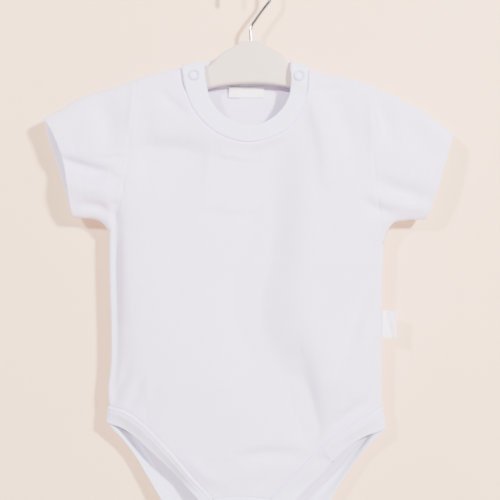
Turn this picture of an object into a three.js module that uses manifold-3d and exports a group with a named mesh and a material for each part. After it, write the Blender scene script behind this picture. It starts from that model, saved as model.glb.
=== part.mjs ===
// A baby onesie, about size 74, buttoned up on a moulded hanger with a wire hook.
// Millimetres, +Z up, the front faces -Y. The origin is the inside of the hook's top, where it hangs.
// Left and right are as seen from the front.

import * as THREE from "three";
import { mergeVertices } from "three/addons/utils/BufferGeometryUtils.js";
import Module from "manifold-3d";

// Cloth thicknesses
const JERSEY = 1.2;
const RIB = 2.0;
const RIB_PROUD = 0.5; // a rib stands this much above the panel beside it
const SEAM_GAP = 0.3;
const BINDING_GAP = 0.8; // wider, because the binding follows the panel round the flap's tight turn
const LABEL = 1.0;

// How far the front and back stand off the middle plane
const OVER_ARM = 7.4; // where the cloth passes over the hanger's arm
const ARM_ROUND = 3; // how quickly it rounds over the arm
const CHEST_ROUND = 45; // how quickly it fills out below the arm
const SIDE_ROUND = 22; // how quickly it fills out from a side seam
const ON_LINE = 0.1; // a point this near to a line lies on it
// A row for each height: full half depth of the front and of the back
const DEPTHS = [
  { z: -60, front: 12.5, back: 11 },
  { z: -180, front: 13.5, back: 12 },
  { z: -330, front: 13, back: 12.5 },
  { z: -390, front: 10, back: 11 },
  { z: -432, front: 6, back: 8 },
  { z: -462, front: 5.8, back: 7 },
];

// The back's crotch flap turns up behind the front at this height
const FLAP = { foldZ: -462, middleY: 1.65, radius: 5.35 };

// Outlines, each a list of [x, z]
const SHOULDER = {
  left: [[-95, -85.7], [-85.3, -82.2], [-70.5, -79.2], [-57.4, -77.5]],
  right: [[96, -88.5], [80, -85], [66.4, -82], [46.7, -77.5]],
};
const NECK_SEAM = {
  front: [
    [-57.4, -77.5], [-54.3, -92], [-48.4, -108.7], [-39.4, -121], [-25.4, -132], [-4, -138.2],
    [14, -135.3], [30, -127.4], [39.4, -115.2], [45.1, -99.6], [46.7, -77.5],
  ],
  back: [[-57.4, -77.5], [-47, -84.5], [-30, -88.5], [-5, -90], [20, -88.5], [37, -84.5], [46.7, -77.5]],
};
const NECK_EDGE = {
  front: [
    [-38.5, -72.5], [-37.2, -87], [-33.6, -102], [-26.2, -112.8], [-13.1, -121.8], [-0.8, -124.6],
    [11.5, -121.8], [23.8, -112.8], [31.2, -100.5], [32.8, -87], [32, -69],
  ],
  back: [[-38.5, -72.5], [-32.5, -69.5], [-20, -71.5], [-4, -74], [12, -72.5], [26, -69.5], [32, -69]],
};
const ARMHOLE = {
  left: [
    [-95, -85.7], [-94.5, -100], [-97, -118], [-100, -140], [-102, -158], [-105, -176], [-110.5, -196],
    [-117.3, -212],
  ],
  right: [
    [96, -88.5], [100, -104], [100.3, -122], [100, -141], [101.5, -165], [104.5, -188], [107.5, -206],
    [109.5, -221.8],
  ],
};
const SIDE_SEAM = {
  left: [[-117.3, -212], [-117.3, -235], [-115.8, -292], [-116, -320], [-118.2, -344], [-117.3, -355.5]],
  right: [[109.5, -221.8], [108.5, -260], [108.2, -320], [108.5, -356.3]],
};
const SLEEVE_TOP = {
  left: [[-95, -85.7], [-113.2, -92.3], [-143.5, -102.1], [-159.1, -111.9], [-171.4, -118]],
  right: [[96, -88.5], [114, -97.2], [133.7, -107], [150, -116.9], [166.5, -131.6]],
};
const CUFF = {
  left: {
    front: [[-171.4, -118], [-164.8, -127], [-157, -145], [-152, -165], [-149.2, -186], [-146.8, -199.7]],
    back: [[-171.4, -118], [-169.4, -131], [-163.5, -150], [-156.6, -170], [-151, -190], [-146.8, -199.7]],
  },
  right: {
    front: [[166.5, -131.6], [162.4, -145], [156.6, -165], [150.1, -186], [144.3, -201.3]],
    back: [[166.5, -131.6], [161, -145], [154.6, -165], [148.6, -186], [144.3, -201.3]],
  },
};
const UNDERARM = {
  left: [[-117.3, -212], [-120.8, -206.5], [-127, -202], [-146.8, -199.7]],
  right: [[109.5, -221.8], [112.5, -212], [118.1, -204.2], [127, -202.3], [144.3, -201.3]],
};
const LEG_SEAM = {
  left: {
    front: [
      [-117.3, -355.5], [-103.3, -358.8], [-86.9, -370.2], [-64, -394], [-47.6, -413.7], [-32, -430.9],
    ],
    back: [
      [-117.3, -355.5], [-100.9, -376], [-82.8, -401.4], [-67.2, -426.8], [-50, -447.3], [-34.5, -463],
      [-29.4, -475], [-28.7, -488.8],
    ],
  },
  right: {
    front: [
      [108.5, -356.3], [97.6, -362], [81.2, -371.9], [56.6, -389.1], [32, -414.5], [15.6, -430.9],
    ],
    back: [
      [108.5, -356.3], [94.3, -383.4], [75.4, -407.1], [56.6, -427.6], [36.1, -449], [20, -463.5],
      [14.2, -475], [13.1, -488.8],
    ],
  },
};
const LEG_EDGE = {
  left: {
    front: [[-119.3, -369.4], [-105.8, -374.3], [-91, -385], [-66.4, -408.8], [-44.3, -430.9]],
    back: [
      [-119.3, -369.4], [-100.9, -390.7], [-84.5, -417], [-68.9, -441.6], [-58.2, -453.1], [-45.5, -464.5],
      [-39, -476], [-38.2, -488.8],
    ],
  },
  right: {
    front: [[110.7, -375.2], [93.5, -380.9], [77.1, -391.6], [54.9, -415.3], [37.7, -430.9]],
    back: [
      [110.7, -375.2], [96.8, -389.1], [75.4, -418.6], [60.7, -441.6], [50, -452.2], [32.5, -465],
      [25.5, -476], [24.5, -488.8],
    ],
  },
};
const CROTCH_EDGE = {
  front: [[-32, -430.9], [-8, -428.6], [15.6, -430.9]],
  back: [[-28.7, -488.8], [-8, -488.4], [13.1, -488.8]],
};
const PLACKET_END = {
  front: { z: -449, seam: [-26.2, 9.8], edge: [-37, 21] },
  back: { z: -506.8, seam: [-26.2, 9.8], edge: [-37, 21] },
};

// Soft troughs and ridges of the hung cloth: a row for each, its line, its half width and its height
const FOLDS = [
  { face: "front", line: [[3, -260], [9, -292], [24, -313], [44, -329], [57, -358]], wide: 8, high: -2.2 },
  { face: "front", line: [[22, -262], [30, -288], [46, -304], [64, -322], [74, -352]], wide: 8, high: 1.4 },
  { face: "front", line: [[40, -350], [52, -366], [61, -381]], wide: 6, high: -2 },
  { face: "front", line: [[-1, -391], [32, -388], [50, -392]], wide: 6, high: -1.8 },
  { face: "front", line: [[-87, -141], [-25, -141]], wide: 9, high: -1.3 },
  { face: "front", line: [[34, -134], [36, -160], [34, -194]], wide: 8, high: -1.8 },
  { face: "front", line: [[47, -103], [54, -124], [62, -150]], wide: 7, high: 1.6 },
  { face: "front", line: [[104, -230], [101, -251], [92, -276], [77, -305]], wide: 7, high: -1.8 },
  { face: "front", line: [[-106, -192], [-106, -230], [-107, -285]], wide: 7, high: -2.2 },
  { face: "front", line: [[-138, -149], [-124, -158], [-112, -163]], wide: 7, high: -2 },
  { face: "front", line: [[106, -171], [122, -175], [146, -185]], wide: 7, high: -2 },
  { face: "front", line: [[-84, -345], [-70, -372]], wide: 8, high: 1.2 },
  { face: "back", line: [[-60, -120], [-34, -135], [0, -139], [38, -133], [62, -118]], wide: 9, high: -1.8 },
  { face: "back", line: [[-18, -200], [-26, -260], [-44, -318]], wide: 10, high: -2 },
  { face: "back", line: [[40, -225], [34, -285], [46, -340]], wide: 10, high: -1.8 },
  { face: "back", line: [[-98, -340], [-60, -380], [-30, -425]], wide: 9, high: 1.6 },
  { face: "back", line: [[92, -348], [60, -388], [24, -430]], wide: 9, high: 1.6 },
  { face: "back", line: [[-136, -150], [-112, -160]], wide: 8, high: -1.8 },
  { face: "back", line: [[108, -166], [140, -178]], wide: 8, high: -1.8 },
];

// How finely each piece is divided
const ARMHOLE_STEPS = 12;
const SIDE_STEPS = 16;
const SHOULDER_STEPS = 5;
const NECK_STEPS = 14;
const LEG_STEPS = 14;
const CROTCH_STEPS = 6;
const SLEEVE_STEPS = 8;
const PLACKET_STEPS = 3;
const BACK_CROWDING = 1.5; // above 1, the back's rows crowd towards the flap's turn

// The shoulder lap of the neck rib
const LAP = { length: 13, lift: RIB + SEAM_GAP, ramp: 26, shares: [0, 0.12, 0.26, 0.45, 0.7] };

const SNAP = { outer: 4.75, inner: 2.3, height: 0.9, rim: 0.45, clear: 0.4 };
const SHOULDER_SNAPS = { left: [-46.3, -84], right: [39.5, -84.5] };
const CROTCH_SNAPS = { z: -440, middle: -8, spacing: 14.5 };

const NECK_LABEL = { left: -18.5, right: 10.7, top: -91, bottom: -99.8 };
const SIDE_LABEL = { left: 108.8, right: 119.7, top: -276.8, bottom: -299.3, thick: 1.2, curl: 0.8 };

const HANGER = {
  thick: 8.4,
  round: 2.6,
  // Half of the outline, from the middle of the top, round the tip, to the middle of the bottom
  top: [
    [0, -54.5], [8.6, -54.5], [8.6, -56.8], [10.2, -57.2], [17, -60.2], [25, -65], [28.5, -68.4],
    [31.5, -72.4], [38, -76.6], [46.7, -80.6], [57, -82.2], [66, -84.4], [80, -87.8], [96, -92], [105, -96],
    [113, -100.2],
  ],
  tip: [[117.5, -104.5], [117, -111], [111, -113.6]],
  bottom: [[96, -107.5], [75, -101.5], [57, -97.5], [38, -94], [24, -91], [12, -89.4], [0, -89]],
};
const HOOK = {
  wire: 1.6,
  circle: 16.5,
  // The shank from its foot inside the hanger up to where the circle begins
  shank: [[0, -67], [0, -54.5], [0, -43], [3.6, -37], [8.2, -30.5], [12.3, -25.2]],
  start: -24,
  end: 196,
  steps: 52,
  sides: 8,
  socketDepth: 13,
};

const COLOURS = {
  jersey: 0xebe8ee,
  rib: 0xeeebf1,
  snap: 0xe6e2f0,
  label: 0xf6f5f8,
  hanger: 0xe9e3dc,
  chrome: 0xc9ccd1,
};

const wasm = await Module();
wasm.setup();

// Curves and lines in the garment's plane

function smooth(points) {
  const places = points.map(([x, z]) => new THREE.Vector3(x, 0, z));
  return new THREE.CatmullRomCurve3(places, false, "centripetal");
}

// The points at the given shares of a curve's length
function along(curve, shares) {
  return shares.map((share) => {
    const p = curve.getPointAt(THREE.MathUtils.clamp(share, 0, 1));
    return [p.x, p.z];
  });
}

function evenly(steps) {
  return Array.from({ length: steps + 1 }, (_, i) => i / steps);
}

// Shares that crowd towards both ends, for a round turn there
function crowded(steps) {
  return evenly(steps).map((t) => (1 - Math.cos(Math.PI * t)) / 2);
}

// Shares round the neck: close together over the shoulder, where the rib rounds the hanger
function neckShares(face) {
  const length = smooth(NECK_SEAM[face]).getLength();
  const lap = LAP.length / length;
  const shoulder = LAP.shares.map((share) => share * lap);
  const round = evenly(NECK_STEPS).map((t) => lap + t * (1 - 2 * lap));
  return [...shoulder, ...round, ...shoulder.map((share) => 1 - share).reverse()];
}

function distanceToLine(x, z, line) {
  let least = Infinity;
  for (let i = 1; i < line.length; i++) {
    const [ax, az] = line[i - 1];
    const [bx, bz] = line[i];
    const length2 = (bx - ax) ** 2 + (bz - az) ** 2 || 1; // 1 where two points meet
    const t = THREE.MathUtils.clamp(((x - ax) * (bx - ax) + (z - az) * (bz - az)) / length2, 0, 1);
    least = Math.min(least, Math.hypot(x - ax - t * (bx - ax), z - az - t * (bz - az)));
  }
  return least;
}

function sampled(points, steps = 60) {
  return along(smooth(points), evenly(steps));
}

// The lines where the front meets the back: over the hanger, and down the sides
const TOP_LINES = ["left", "right"].map((side) => {
  const neckEnd = side === "left" ? 0 : NECK_EDGE.front.length - 1;
  const sleeve = sampled(SLEEVE_TOP[side]).reverse();
  const shoulder = sampled(SHOULDER[side]);
  return [...sleeve, ...shoulder, NECK_EDGE.front[neckEnd]];
});
const SIDE_LINES = ["left", "right"].map((side) => {
  const sleeve = sampled(UNDERARM[side]).reverse();
  return [...sleeve, ...sampled(SIDE_SEAM[side]), LEG_EDGE[side].front[0]];
});

function nearest(x, z, lines) {
  return Math.min(...lines.map((line) => distanceToLine(x, z, line)));
}

function rounding(distance, reach) {
  return 1 - Math.exp(-Math.max(distance - ON_LINE, 0) / reach);
}

function fullDepth(face, z) {
  if (z >= DEPTHS[0].z) return DEPTHS[0][face];
  for (let i = 1; i < DEPTHS.length; i++) {
    if (z >= DEPTHS[i].z) {
      const t = THREE.MathUtils.smoothstep(DEPTHS[i - 1].z - z, 0, DEPTHS[i - 1].z - DEPTHS[i].z);
      return THREE.MathUtils.lerp(DEPTHS[i - 1][face], DEPTHS[i][face], t);
    }
  }
  return DEPTHS[DEPTHS.length - 1][face];
}

function foldRelief(face, x, z) {
  let relief = 0;
  for (const fold of FOLDS) {
    if (fold.face !== face) continue;
    relief += fold.high * Math.exp(-((distanceToLine(x, z, fold.line) / fold.wide) ** 2));
  }
  return relief;
}

// How far the outer face of the front or the back stands from the middle plane
function halfDepth(face, x, z) {
  const fromTop = nearest(x, z, TOP_LINES);
  const fromSide = nearest(x, z, SIDE_LINES);
  const arm2 = OVER_ARM ** 2;
  const rest2 = fullDepth(face, z) ** 2 - arm2;
  const overArm = arm2 * rounding(fromTop, ARM_ROUND) + rest2 * rounding(fromTop, CHEST_ROUND);
  const closed = rounding(fromSide, SIDE_ROUND);
  const calm = rounding(fromTop, 12) * rounding(fromSide, 8);
  return Math.sqrt(Math.max(overArm * closed, 0)) + foldRelief(face, x, z) * calm;
}

// A place on the garment's outer face. The back's lowest stretch is the flap, turned up behind the front.
function place(face, x, z) {
  const depth = halfDepth(face, x, z);
  if (face === "front") return new THREE.Vector3(x, -depth, z);
  const past = FLAP.foldZ - z;
  if (past <= 0) return new THREE.Vector3(x, depth, z);
  const turn = Math.min(past / FLAP.radius, Math.PI);
  const y = FLAP.middleY + (depth - FLAP.middleY) * Math.cos(turn);
  const climbed = Math.max(past - Math.PI * FLAP.radius, 0);
  return new THREE.Vector3(x, y, FLAP.foldZ - FLAP.radius * Math.sin(turn) + climbed);
}

// Pieces of cloth

// rows of [x, z] between four edges: the blend of the top and bottom rows, moved to meet the two sides
function panelRows(top, bottom, left, right, crowding) {
  const last = top.length - 1;
  const end = left.length - 1;
  const share = (row, i) => (row[i][0] - row[0][0]) / (row[last][0] - row[0][0]);
  return left.map((leftPoint, j) => {
    const fallen = (leftPoint[1] - left[0][1]) / (left[end][1] - left[0][1]);
    const v = 1 - (1 - fallen) ** crowding;
    return top.map((topPoint, i) => {
      const u = (share(top, i) + share(bottom, i)) / 2;
      return [0, 1].map((k) => {
        const between = (1 - v) * topPoint[k] + v * bottom[i][k];
        const leftMiss = leftPoint[k] - (1 - v) * left[0][k] - v * left[end][k];
        const rightMiss = right[j][k] - (1 - v) * right[0][k] - v * right[end][k];
        return between + (1 - u) * leftMiss + u * rightMiss;
      });
    });
  });
}

function placed(face, rows) {
  return rows.map((row) => row.map(([x, z]) => place(face, x, z)));
}

function panel(face) {
  const shoulderShares = evenly(SHOULDER_STEPS);
  const legShares = evenly(LEG_STEPS);
  const armholeShares = crowded(ARMHOLE_STEPS);
  const sideShares = evenly(SIDE_STEPS).slice(1);
  const leftShoulder = along(smooth(SHOULDER.left), shoulderShares);
  const rightShoulder = along(smooth(SHOULDER.right), shoulderShares).reverse();
  const neck = along(smooth(NECK_SEAM[face]), neckShares(face));
  const top = [...leftShoulder, ...neck.slice(1), ...rightShoulder.slice(1)];
  const leftLeg = along(smooth(LEG_SEAM.left[face]), legShares);
  const rightLeg = along(smooth(LEG_SEAM.right[face]), legShares).reverse();
  const crotch = along(smooth(CROTCH_EDGE[face]), evenly(CROTCH_STEPS));
  const bottom = [...leftLeg, ...crotch.slice(1), ...rightLeg.slice(1)];
  const [left, right] = ["left", "right"].map((side) => [
    ...along(smooth(ARMHOLE[side]), armholeShares),
    ...along(smooth(SIDE_SEAM[side]), sideShares),
  ]);
  const crowding = face === "back" ? BACK_CROWDING : 1;
  return placed(face, panelRows(top, bottom, left, right, crowding));
}

// A sleeve's rings run down the front from its top fold and up the back, from the armhole to the cuff.
function sleeve(side) {
  const aroundShares = crowded(ARMHOLE_STEPS);
  const lengthShares = evenly(SLEEVE_STEPS);
  const topFold = along(smooth(SLEEVE_TOP[side]), lengthShares);
  const underside = along(smooth(UNDERARM[side]), lengthShares);
  const armhole = along(smooth(ARMHOLE[side]), aroundShares);
  const halves = ["front", "back"].map((face) => {
    const cuff = along(smooth(CUFF[side][face]), aroundShares);
    const rows = aroundShares.map((v, j) =>
      lengthShares.map((u, i) =>
        [0, 1].map((k) => {
          const between = (1 - u) * armhole[j][k] + u * cuff[j][k];
          const topMiss = topFold[i][k] - (1 - u) * topFold[0][k] - u * topFold[SLEEVE_STEPS][k];
          const underMiss =
            underside[i][k] - (1 - u) * underside[0][k] - u * underside[SLEEVE_STEPS][k];
          return between + (1 - v) * topMiss + v * underMiss;
        }),
      ),
    );
    return placed(face, rows);
  });
  const backAgain = halves[1].slice(1, -1).reverse();
  const around = [...halves[0], ...backAgain];
  return lengthShares.map((_, i) => around.map((strip) => strip[i]));
}

// rows between two lists of [x, z] of the same length
function stripRows(from, to, steps) {
  return evenly(steps).map((t) =>
    from.map(([x, z], i) => [x + t * (to[i][0] - x), z + t * (to[i][1] - z)]),
  );
}

// The rib's places round the neck, from its seam to its free edge
function neckRows(face, shares) {
  const seam = along(smooth(NECK_SEAM[face]), shares);
  const edge = along(smooth(NECK_EDGE[face]), shares);
  return placed(face, stripRows(seam, edge, 2));
}

// The back rib runs on under the front one by the lap, so its columns start and end on the front.
function backNeckRows() {
  const under = neckShares("front").slice(1, LAP.shares.length + 1);
  const before = neckRows("front", under.slice().reverse());
  const behind = neckRows("back", neckShares("back"));
  const after = neckRows("front", under.map((share) => 1 - share));
  return behind.map((row, r) => [...before[r], ...row, ...after[r]]);
}

// How far the front rib is lifted by the lap below it, at each of its columns
function lapLift(share, length) {
  const fromEnd = Math.min(share, 1 - share) * length;
  return LAP.lift * (1 - THREE.MathUtils.smoothstep(fromEnd, LAP.length + 1.5, LAP.ramp));
}

function placketRows(face) {
  const top = along(smooth(CROTCH_EDGE[face]), evenly(CROTCH_STEPS));
  const { z, seam } = PLACKET_END[face];
  const end = evenly(CROTCH_STEPS).map((t) => [seam[0] + t * (seam[1] - seam[0]), z]);
  return placed(face, stripRows(top, end, PLACKET_STEPS));
}

// One binding runs from the front's crotch up to the side and down the back to the flap's end.
function bindingRows(side) {
  const sign = side === "left" ? 0 : 1;
  const halves = ["front", "back"].map((face) => {
    const { z, seam, edge } = PLACKET_END[face];
    const shares = evenly(LEG_STEPS);
    const tail = evenly(PLACKET_STEPS).slice(1);
    const run = (table, endX) => {
      const leg = along(smooth(table[side][face]), shares);
      const [startX, startZ] = leg[LEG_STEPS];
      const down = tail.map((t) => [startX + t * (endX - startX), startZ + t * (z - startZ)]);
      return [...leg, ...down];
    };
    return placed(face, stripRows(run(LEG_SEAM, seam[sign]), run(LEG_EDGE, edge[sign]), 2));
  });
  return halves[0].map((row, r) => [...row.slice().reverse(), ...halves[1][r].slice(1)]);
}

// Walls from the places: neighbours share their seam's points and its normals, so their walls stay parallel

const pieces = [];

function cutPiece(name, rows, options) {
  const plain = { loop: false, gap: SEAM_GAP, out: () => 0, into: () => JERSEY, colour: "jersey" };
  pieces.push({ name, rows, ...plain, ...options });
}

function keyOf(p) {
  return [p.x, p.y, p.z].map((value) => Math.round(value * 100)).join(",");
}

function sharedNormals() {
  const sums = new Map();
  for (const { rows, turn, loop } of pieces) {
    const columns = rows[0].length;
    const across = loop ? columns : columns - 1;
    for (let j = 0; j + 1 < rows.length; j++) {
      for (let i = 0; i < across; i++) {
        const a = rows[j][i];
        const b = rows[j][(i + 1) % columns];
        const c = rows[j + 1][(i + 1) % columns];
        const d = rows[j + 1][i];
        const normal = c.clone().sub(a).cross(d.clone().sub(b)).multiplyScalar(turn);
        for (const corner of [a, b, c, d]) {
          const key = keyOf(corner);
          if (!sums.has(key)) sums.set(key, new THREE.Vector3());
          sums.get(key).add(normal);
        }
      }
    }
  }
  return sums;
}

// Adds to an edge's moves half the seam gap, in the cloth and square to the edge, away from the neighbour
function drawIn(moves, edge, inner, edgeNormals, gap, loop) {
  const last = edge.length - 1;
  edge.forEach((p, i) => {
    const before = loop ? edge[(i + last) % (last + 1)] : edge[Math.max(i - 1, 0)];
    const after = loop ? edge[(i + 1) % (last + 1)] : edge[Math.min(i + 1, last)];
    const square = after.clone().sub(before).cross(edgeNormals[i]).setLength(gap / 2);
    if (square.dot(inner[i].clone().sub(p)) < 0) square.negate();
    moves[i].add(square);
  });
}

// How each point of a piece moves to leave its share of the seam gaps
function seamMoves(rows, rowNormals, gap, loop) {
  const moves = rows.map((row) => row.map(() => new THREE.Vector3()));
  const end = rows.length - 1;
  drawIn(moves[0], rows[0], rows[1], rowNormals[0], gap, loop);
  drawIn(moves[end], rows[end], rows[end - 1], rowNormals[end], gap, loop);
  if (loop) return moves;
  const last = rows[0].length - 1;
  for (const [edge, inner] of [[0, 1], [last, last - 1]]) {
    const [ends, places, beside, faces] = [moves, rows, rows, rowNormals].map((table, k) =>
      table.map((row) => row[k === 2 ? inner : edge]),
    );
    drawIn(ends, places, beside, faces, gap, false);
  }
  return moves;
}

// The closed wall of a piece, from its outer rows and inner rows
function wall(outer, inner, turn, loop) {
  const rowCount = outer.length;
  const columns = outer[0].length;
  const positions = [...outer.flat(), ...inner.flat()].flatMap((p) => [p.x, p.y, p.z]);
  const index = (layer, j, i) => (layer * rowCount + j) * columns + (i % columns);
  const faces = [];
  const quad = (a, b, c, d) => {
    if (turn < 0) faces.push(a, c, b, a, d, c);
    else faces.push(a, b, c, a, c, d);
  };
  const across = loop ? columns : columns - 1;
  for (let i = 0; i < across; i++) {
    for (let j = 0; j + 1 < rowCount; j++) {
      quad(index(0, j, i), index(0, j, i + 1), index(0, j + 1, i + 1), index(0, j + 1, i));
      quad(index(1, j, i), index(1, j + 1, i), index(1, j + 1, i + 1), index(1, j, i + 1));
    }
    quad(index(0, 0, i), index(1, 0, i), index(1, 0, i + 1), index(0, 0, i + 1));
    const end = rowCount - 1;
    quad(index(0, end, i), index(0, end, i + 1), index(1, end, i + 1), index(1, end, i));
  }
  for (let j = 0; j + 1 < rowCount && !loop; j++) {
    const last = columns - 1;
    quad(index(0, j, 0), index(0, j + 1, 0), index(1, j + 1, 0), index(1, j, 0));
    quad(index(0, j, last), index(1, j, last), index(1, j + 1, last), index(0, j + 1, last));
  }
  const geometry = new THREE.BufferGeometry();
  geometry.setAttribute("position", new THREE.Float32BufferAttribute(positions, 3));
  geometry.setIndex(faces);
  return geometry;
}

function clothMesh({ name, rows, turn, loop, gap, out, into, colour }, normals) {
  const rowNormals = rows.map((row) => row.map((p) => normals.get(keyOf(p)).clone().normalize()));
  const moves = seamMoves(rows, rowNormals, gap, loop);
  const layer = (reach) =>
    rows.map((row, j) =>
      row.map((p, i) => p.clone().add(moves[j][i]).addScaledVector(rowNormals[j][i], reach(i))),
    );
  const geometry = wall(layer(out), layer((i) => -into(i)), turn, loop);
  geometry.computeVertexNormals();
  return meshOf(name, geometry, colour);
}

function meshOf(name, geometry, colour) {
  const metal = colour === "chrome";
  const material = new THREE.MeshStandardMaterial({
    color: COLOURS[colour],
    roughness: metal ? 0.15 : colour === "hanger" ? 0.45 : 0.9,
    metalness: metal ? 1 : 0,
  });
  const mesh = new THREE.Mesh(geometry, material);
  mesh.name = name;
  return mesh;
}

// Snaps, labels, hanger and hook

// The place and outward direction of the cloth's face at x, z
function faceAt(face, x, z, step = 1.5) {
  const at = place(face, x, z);
  const alongX = place(face, x + step, z).sub(place(face, x - step, z));
  const alongZ = place(face, x, z + step).sub(place(face, x, z - step));
  const normal = alongX.cross(alongZ).normalize();
  if (face === "back") normal.negate();
  return { at, normal };
}

function snapRing(name, x, z, stand) {
  const { outer, inner, height, rim } = SNAP;
  const profile = [
    [inner, 0], [outer, 0], [outer, height - rim], [outer - rim, height], [inner + rim, height],
    [inner, height - rim], [inner, 0],
  ];
  const ring = new THREE.LatheGeometry(profile.map(([r, y]) => new THREE.Vector2(r, y)), 20);
  const { at, normal } = faceAt("front", x, z, SNAP.outer);
  const mesh = meshOf(name, ring, "snap");
  mesh.quaternion.setFromUnitVectors(new THREE.Vector3(0, 1, 0), normal);
  mesh.position.copy(at).addScaledVector(normal, stand + SNAP.clear);
  return mesh;
}

function neckLabelRows() {
  const { left, right, top, bottom } = NECK_LABEL;
  const ends = [top, bottom].map((z) => evenly(5).map((t) => [left + t * (right - left), z]));
  return placed("back", stripRows(ends[0], ends[1], 2));
}

// A folded ribbon that stands out from the side seam, with a slight curl
function sideLabel() {
  const { left, right, top, bottom, thick, curl } = SIDE_LABEL;
  const face = (y) =>
    evenly(3).map((v) =>
      evenly(4).map((u) => {
        const lean = curl * u * u * (2 * v - 1);
        const x = left + u * (right - left);
        return new THREE.Vector3(x, y * (1 - 0.3 * u * u) + lean, top + v * (bottom - top));
      }),
    );
  const geometry = wall(face(-thick / 2), face(thick / 2), -1, false);
  return meshOf("side_label", geometry, "label");
}

function hangerShape() {
  const half = [...HANGER.top, ...HANGER.tip, ...HANGER.bottom];
  const otherHalf = half.slice(1, -1).reverse().map(([x, z]) => [-x, z]);
  const inset = HANGER.round;
  const outline = [...half, ...otherHalf].map(([x, z]) => new THREE.Vector2(x, z));
  const shape = new THREE.Shape(outline);
  const geometry = new THREE.ExtrudeGeometry(shape, {
    depth: HANGER.thick - 2 * inset,
    bevelEnabled: true,
    bevelThickness: inset,
    bevelSize: inset,
    bevelOffset: -inset,
    bevelSegments: 2,
  });
  geometry.translate(0, 0, -HANGER.thick / 2 + inset);
  geometry.rotateX(Math.PI / 2);
  return geometry;
}

function solidOf(geometry) {
  const bare = geometry.clone();
  bare.deleteAttribute("normal");
  bare.deleteAttribute("uv");
  const merged = mergeVertices(bare.index ? bare.toNonIndexed() : bare, 1e-4);
  const triVerts = new Uint32Array(merged.index.array);
  const vertProperties = merged.attributes.position.array;
  return new wasm.Manifold(new wasm.Mesh({ numProp: 3, vertProperties, triVerts }));
}

function geometryOf(solid) {
  const { vertProperties, triVerts } = solid.getMesh();
  const geometry = new THREE.BufferGeometry();
  geometry.setAttribute("position", new THREE.BufferAttribute(vertProperties, 3));
  geometry.setIndex(new THREE.BufferAttribute(triVerts, 1));
  geometry.computeVertexNormals();
  return geometry;
}

// The hanger with the socket that holds the hook's foot
function hangerBody() {
  const depth = HOOK.socketDepth;
  const top = HANGER.top[0][1];
  const radius = HOOK.wire + SEAM_GAP;
  const socket = new THREE.CylinderGeometry(radius, radius, 2 * depth, 16);
  socket.rotateX(Math.PI / 2);
  socket.translate(0, 0, top);
  const drilled = solidOf(hangerShape()).subtract(solidOf(socket));
  return meshOf("hanger_body", geometryOf(drilled), "hanger");
}

function hook() {
  const centreZ = HOOK.wire - HOOK.circle;
  const shank = HOOK.shank.map(([x, z]) => new THREE.Vector3(x, 0, z));
  const arc = evenly(18).map((t) => {
    const angle = THREE.MathUtils.degToRad(HOOK.start + t * (HOOK.end - HOOK.start));
    return new THREE.Vector3(HOOK.circle * Math.cos(angle), 0, centreZ + HOOK.circle * Math.sin(angle));
  });
  const route = new THREE.CatmullRomCurve3([...shank, ...arc], false, "centripetal");
  const section = new THREE.Shape();
  section.absarc(0, 0, HOOK.wire, 0, 2 * Math.PI);
  const geometry = new THREE.ExtrudeGeometry(section, {
    steps: HOOK.steps,
    curveSegments: HOOK.sides / 2,
    extrudePath: route,
    bevelEnabled: false,
  });
  return meshOf("hanger_hook", geometry, "chrome");
}

// The garment's pieces
const rib = { out: () => RIB_PROUD, into: () => RIB - RIB_PROUD, colour: "rib" };
const neckLength = smooth(NECK_SEAM.front).getLength();
const lifts = neckShares("front").map((share) => lapLift(share, neckLength));

cutPiece("front_panel", panel("front"), { turn: -1 });
cutPiece("back_panel", panel("back"), { turn: 1 });
cutPiece("sleeve_left", sleeve("left"), { turn: -1, loop: true });
cutPiece("sleeve_right", sleeve("right"), { turn: 1, loop: true });
cutPiece("neck_band_front", neckRows("front", neckShares("front")), {
  turn: 1,
  out: (i) => RIB_PROUD + lifts[i],
  into: (i) => RIB - RIB_PROUD - lifts[i],
  colour: "rib",
});
cutPiece("neck_band_back", backNeckRows(), { turn: -1, ...rib, out: () => 0, into: () => RIB });
cutPiece("leg_binding_left", bindingRows("left"), { turn: 1, ...rib, gap: BINDING_GAP });
cutPiece("leg_binding_right", bindingRows("right"), { turn: -1, ...rib, gap: BINDING_GAP });
cutPiece("crotch_placket_front", placketRows("front"), { turn: -1, ...rib });
cutPiece("crotch_placket_back", placketRows("back"), { turn: 1, ...rib });
const inside = JERSEY + SEAM_GAP;
cutPiece("neck_label", neckLabelRows(), {
  turn: 1,
  out: () => -inside,
  into: () => inside + LABEL,
  colour: "label",
});

const onesie = new THREE.Group();
const normals = sharedNormals();
for (const piece of pieces) onesie.add(clothMesh(piece, normals));
for (const [side, [x, z]] of Object.entries(SHOULDER_SNAPS)) {
  onesie.add(snapRing("shoulder_snap_" + side, x, z, RIB_PROUD + LAP.lift));
}
["left", "middle", "right"].forEach((name, i) => {
  const x = CROTCH_SNAPS.middle + (i - 1) * CROTCH_SNAPS.spacing;
  onesie.add(snapRing("crotch_snap_" + name, x, CROTCH_SNAPS.z, RIB_PROUD));
});
onesie.add(sideLabel());
onesie.add(hangerBody());
onesie.add(hook());

export default onesie;
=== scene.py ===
# A baby onesie on a hanger: cotton jersey with ribbed bands, snaps and stitching, a moulded hanger and a wire hook.
# Tables and sizes are in millimetres, in the part's frame: the front faces -Y, and left is left as seen from the front.
import math

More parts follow.
